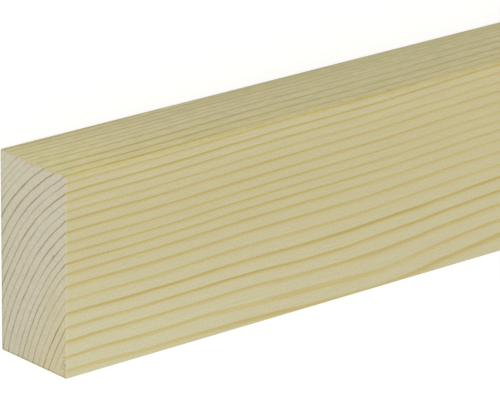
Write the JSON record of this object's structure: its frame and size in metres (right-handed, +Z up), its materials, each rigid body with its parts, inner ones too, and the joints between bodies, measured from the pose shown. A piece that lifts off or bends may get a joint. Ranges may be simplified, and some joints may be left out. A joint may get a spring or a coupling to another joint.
{
  "type": "timber plank",
  "caption": "Planed softwood plank with a rectangular section, eased long edges and square sawn ends, stock to be cut, nailed or screwed in building work.",
  "frame": {"origin": "middle of the wide face that the plank lies on", "axes": "+X along the length and the grain, +Y across the width, +Z up through the thickness"},
  "size_m": [2.4, 0.098, 0.048],
  "materials": {
    "softwood": "planed and untreated, pale cream, with thin growth rings on the sawn ends and fine grain lines along the faces"
  },
  "bodies": {
    "root": {"plank": "softwood"}
  },
  "joints": []
}
